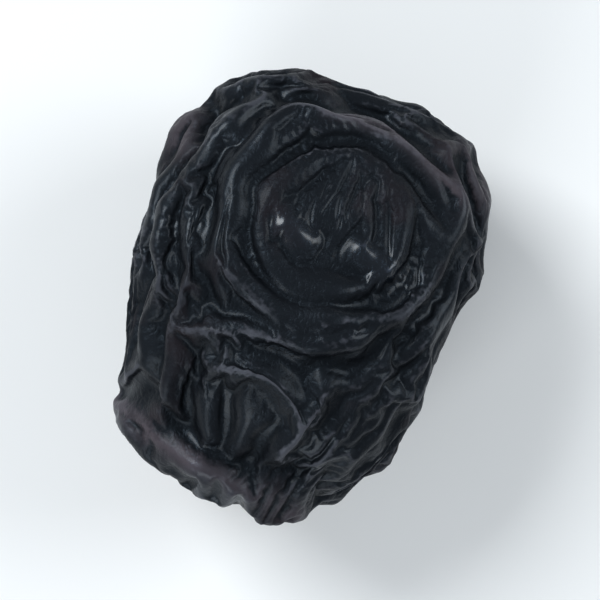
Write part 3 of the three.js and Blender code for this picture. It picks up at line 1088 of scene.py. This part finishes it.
class Whorl(Enum):
    """The two rings of lobes in the calyx cap."""

    BROAD = "broad"
    SHORT = "short"


@dataclass(frozen=True)
class Lobe:
    """The shape of a whorl's lobes, in millimetres, their turn and their first draw."""

    reach: float
    root: float
    half_angle: float
    lift: float
    thickness: float
    curl: float
    turn: float
    first_seed: int


@dataclass(frozen=True)
class Rag:
    """Unevenness of a lobe's edge: its grain in millimetres, its depth as a share of the reach."""

    grain: float
    depth: float
    first_seed: int

    def at(self, rim: np.ndarray, seed: int) -> np.ndarray:
        """The noise along the rim of one lobe."""
        return Noise(self.grain, self.first_seed + seed).at(rim)


@dataclass(frozen=True)
class CapPiece:
    """One closed piece of the cap: its corners, its faces and the values that its finish reads."""

    points: np.ndarray
    faces: np.ndarray
    values: dict[str, np.ndarray]


@dataclass
class CalyxCap:
    """The dry cap that the date grew under: broad lobes, short ones over them and a scar.

    Its sizes are in millimetres. How lobes differ in turn, width and length is in radians and shares.
    """

    stem: StemEnd
    phase: float = 0.4
    sheet_steps: tuple[int, int] = (72, 44)
    turn_play: float = 0.25
    narrowest: float = 0.88
    width_play: float = 0.16
    length_play: float = 0.12
    rounding: float = 0.42
    wave_height: float = 0.09
    bend_height: float = 0.05
    tilt: float = 0.06
    lobe_seed: int = 30
    wave_seed: int = 60
    scar_radius: float = 1.1
    scar_height: float = 1.25
    scar_turns: int = 64
    scar_wobble: float = 0.04
    scar_roughness: float = 0.06
    scar_grain: float = 0.5
    scar_seed: int = 90
    sink: float = 0.2
    fibres: int = 58
    fibre_height: float = 0.022
    turn_radius: float = 3.0
    broad_rag: Rag = Rag(grain=1.6, depth=0.03, first_seed=40)
    fine_rag: Rag = Rag(grain=0.45, depth=0.018, first_seed=50)
    tear: Rag = Rag(grain=0.7, depth=0.25, first_seed=55)
    finish: DryCalyxFinish = DryCalyxFinish()

    LOBES = {
        Whorl.BROAD: Lobe(
            reach=4.45, root=0.5, half_angle=math.radians(68), lift=0.02, thickness=0.4, curl=0.36,
            turn=0.0, first_seed=0,
        ),
        Whorl.SHORT: Lobe(
            reach=3.05, root=0.5, half_angle=math.radians(62), lift=0.4, thickness=0.34, curl=0.16,
            turn=math.pi / 3, first_seed=3,
        ),
    }
    WAVE_GRAINS = (2.2, 1.1, 0.8)
    SCAR_PROFILE = np.array([
        [0.0, 0.62], [0.2, 0.7], [0.42, 0.6], [0.6, 0.72], [0.78, 0.98], [0.95, 1.0],
        [1.06, 0.86], [1.12, 0.6], [1.3, 0.42], [1.5, 0.3], [1.5, 0.0], [0.0, 0.0],
    ])

    def edge(self, angle: np.ndarray, seed: int) -> np.ndarray:
        """How far the edge of a lobe stands out of its plain outline or is torn back from it.

        Args:
            angle: The angles along its edge.
            seed: The number that the lobe's draws start from.

        Returns:
            A share of the lobe's reach for each.
        """
        rim = round_places(self.turn_radius, angle, 0.0)
        broad, fine = (rag.depth * rag.at(rim, seed) for rag in (self.broad_rag, self.fine_rag))
        return broad + fine - self.tear.depth * np.clip(self.tear.at(rim, seed) - 1.0, 0, 1)

    def lobe(self, whorl: Whorl, number: int) -> CapPiece:
        """One lobe as a thin sheet with a ragged edge, which waves and curls up at its end.

        Args:
            whorl: The ring of lobes that it belongs to.
            number: Which one it is, from 0 to 2.

        Returns:
            The lobe.
        """
        shape = self.LOBES[whorl]
        seed = number + shape.first_seed
        middle = self.phase + number * 2 * math.pi / 3 + shape.turn
        across = np.linspace(-1, 1, self.sheet_steps[0] + 1)
        side, share = np.meshgrid(across, np.linspace(0, 1, self.sheet_steps[1] + 1), indexing="ij")
        turned, widened, shortened = np.random.default_rng(self.lobe_seed + seed).uniform(0, 1, 3)
        middle += self.turn_play * (turned - 0.5)
        angle = middle + side * shape.half_angle * (self.narrowest + self.width_play * widened)
        drawn = 1 + self.edge(angle[:, 0], seed) - self.length_play * shortened
        reach = shape.reach * (1 - np.abs(across) ** 3.2 * self.rounding) * drawn
        radius = shape.root + share * (reach[:, None] - shape.root)
        place = round_places(radius, angle, 0.0).reshape(-1, 3)
        wave, bent, uneven = (
            Noise(grain, self.wave_seed + 10 * row + seed).at(place).reshape(radius.shape)
            for row, grain in enumerate(self.WAVE_GRAINS)
        )
        fibre = 0.5 + 0.5 * np.sin(self.fibres * angle + 2.2 * bent) * np.clip(0.6 + uneven, 0, 1)
        lifted = shape.curl * (1 + 0.5 * wave) * share**4 * (1 - 0.6 * side**2)
        rise = shape.lift + lifted + self.wave_height * wave * share + self.bend_height * bent * share
        rise += self.tilt * side + self.stem.seat(radius) - self.sink
        thick = shape.thickness * (1 - 0.6 * share**3) * np.sqrt(np.clip(1 - side**6, 0.02, 1))
        measures = {
            "rib": fibre,
            "rim": np.maximum(share, np.abs(side)),
            "turn": angle * self.turn_radius,
            "out": radius,
            "deep": 0.7 * (1 - share),
        }
        top = round_places(radius, angle, rise + thick + self.fibre_height * fibre)
        return self.closed(top, round_places(radius, angle, rise), measures)

    def closed(self, top: np.ndarray, low: np.ndarray, measures: dict[str, np.ndarray]) -> CapPiece:
        """Closes a sheet with a wall round its rim.

        Args:
            top: The points of its upper side, in a grid.
            low: The points of its underside, in the same grid.
            measures: The values that the finish reads, in the same grid.

        Returns:
            The sheet.
        """
        count = top[..., 0].size
        grid = np.arange(count).reshape(top.shape[:2])
        rim = np.concatenate([grid[0, :-1], grid[:-1, -1], grid[-1, :0:-1], grid[:0:-1, 0]])
        upper = np.stack([grid[:-1, :-1], grid[1:, :-1], grid[1:, 1:], grid[:-1, 1:]], -1).reshape(-1, 4)
        wall = np.stack([rim, np.roll(rim, -1), np.roll(rim, -1) + count, rim + count], axis=1)
        return CapPiece(
            points=np.concatenate([top.reshape(-1, 3), low.reshape(-1, 3)]),
            faces=np.concatenate([upper, upper[:, ::-1] + count, wall]),
            values={key: np.tile(numbers.ravel(), 2) for key, numbers in measures.items()},
        )

    def scar(self) -> CapPiece:
        """The round scar where the date hung, with a rough broken middle.

        Returns:
            The scar.
        """
        angle = np.linspace(0, 2 * math.pi, self.scar_turns, endpoint=False)
        outline, height = (self.SCAR_PROFILE[:, axis][:, None] for axis in range(2))
        radius = outline * self.scar_radius * (1 + self.scar_wobble * np.sin(3 * angle + 1))
        level = height * self.scar_height
        place = round_places(radius, angle, level)
        rough = Noise(self.scar_grain, self.scar_seed).at(place.reshape(-1, 3)).reshape(radius.shape)
        place[..., 2] += self.scar_roughness * rough * (level > 0)
        place[..., 2] += self.stem.seat(radius)
        grid = np.arange(radius.size).reshape(radius.shape)
        turned = np.roll(grid, -1, axis=1)
        measures = {
            "rib": 0.5 + 0.5 * rough,
            "rim": np.zeros_like(radius),
            "turn": self.turn_radius * angle * np.ones_like(radius),
            "out": radius,
            "deep": smooth_step(self.scar_radius - radius, 0.1, 0.45),
        }
        return CapPiece(
            points=place.reshape(-1, 3),
            faces=np.stack([grid[:-1], grid[1:], turned[1:], turned[:-1]], axis=-1).reshape(-1, 4),
            values={key: numbers.ravel() for key, numbers in measures.items()},
        )

    def build(self) -> bpy.types.Object:
        """Makes the cap in place of its CAD node.

        Returns:
            The cap.
        """
        pieces = [self.lobe(whorl, number) for whorl in Whorl for number in range(3)]
        pieces.append(self.scar())
        starts = np.cumsum([0] + [len(piece.points) for piece in pieces[:-1]])
        points = self.stem.world(np.concatenate([piece.points for piece in pieces]))
        faces = np.concatenate([piece.faces + start for piece, start in zip(pieces, starts)])
        values = {
            key: np.concatenate([piece.values[key] for piece in pieces]) for key in pieces[0].values
        }
        cap = ClosedSkin(points, faces).to_object("calyx_cap_lobes", values)
        cap.data.materials.append(self.finish.build())
        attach(cap, "root")
        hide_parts("calyx_cap")
        return cap


@dataclass(frozen=True)
class SoftLight:
    """One square soft light, aimed at the date, by where it hangs as the camera sees it."""

    name: str
    bearing: float
    elevation: float
    radiance: float
    distance: float = 0.8
    size: float = 0.48
    colour: tuple[float, float, float] = (0.94, 0.98, 1.0)


@dataclass
class Studio:
    """The pale floor, the soft lights and the camera that looks down, in metres."""

    lean: float = math.radians(13)
    lens: float = 220.0
    frame_height: float = 0.0385
    near_clip: float = 0.01
    floor_size: float = 3.0
    room_colour: Colour = (0.84, 0.92, 1.0, 1)
    room_strength: float = 0.3
    finish: PaleFloorFinish = PaleFloorFinish()
    lights: tuple[SoftLight, ...] = (
        SoftLight("key", bearing=138, elevation=44, radiance=14.0, size=0.34),
        SoftLight("side", bearing=15, elevation=35, radiance=5.0, size=0.42),
        SoftLight("low", bearing=238, elevation=32, radiance=5.0, size=0.42),
    )

    def floor(self) -> bpy.types.Object:
        """Lays the floor at the height that the date rests on.

        Returns:
            The floor.
        """
        half = self.floor_size / 2
        corners = [(-half, -half, 0), (half, -half, 0), (half, half, 0), (-half, half, 0)]
        mesh = bpy.data.meshes.new("floor")
        mesh.from_pydata(corners, [], [(0, 1, 2, 3)])
        made = put_in_scene("floor", mesh)
        made.data.materials.append(self.finish.build())
        return made

    def hang(self, light: SoftLight, aim: Vector) -> bpy.types.Object:
        """Hangs one soft light.

        Args:
            light: The light.
            aim: The point that it looks at.

        Returns:
            The light's object.
        """
        lamp = bpy.data.lights.new(light.name, "AREA")
        lamp.size = light.size
        lamp.energy = light.radiance * math.pi * light.size**2
        lamp.color = light.colour
        made = put_in_scene(light.name, lamp)
        bearing = math.radians(light.bearing) + self.lean
        elevation = math.radians(light.elevation)
        level = light.distance * math.cos(elevation)
        way = (level * math.cos(bearing), level * math.sin(bearing), light.distance * math.sin(elevation))
        made.location = aim + Vector(way)
        made.rotation_euler = Vector(way).to_track_quat("Z", "Y").to_euler()
        return made

    def surroundings(self) -> None:
        """Gives the room round the floor its even pale light."""
        world = bpy.data.worlds.new("room")
        world.use_nodes = True
        background = world.node_tree.nodes["Background"]
        background.inputs["Color"].default_value = self.room_colour
        background.inputs["Strength"].default_value = self.room_strength
        bpy.context.scene.world = world

    def camera(self, aim: Vector) -> bpy.types.Object:
        """Hangs the camera straight above the date, turned so that the date leans to the right.

        Args:
            aim: The middle of the date.

        Returns:
            The camera.
        """
        lens = bpy.data.cameras.new("camera")
        lens.lens = self.lens
        lens.clip_start = self.near_clip
        made = put_in_scene("camera", lens)
        distance = self.frame_height / 2 / (lens.sensor_width / 2 / self.lens)
        made.location = aim + Vector((0, 0, distance))
        made.rotation_euler = (0, 0, self.lean)
        bpy.context.scene.camera = made
        return made

    def build(self) -> None:
        """Sets the camera, the floor and the lights round the date."""
        low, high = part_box("date_fruit")
        middle = (low + high) / 2
        self.camera(middle)
        self.floor()
        for light in self.lights:
            self.hang(light, middle)
        self.surroundings()
        bpy.context.scene.view_settings.view_transform = "Standard"


def main() -> None:
    """Builds the studio and the date, piece by piece."""
    logging.basicConfig(level=logging.INFO)
    Studio().build()
    stem = StemEnd()
    for part in (DateFruit(stem), CalyxCap(stem)):
        piece = part.build()
        log.info("%s: %d faces", piece.name, len(piece.data.polygons))


if __name__ == "__main__":
    main()
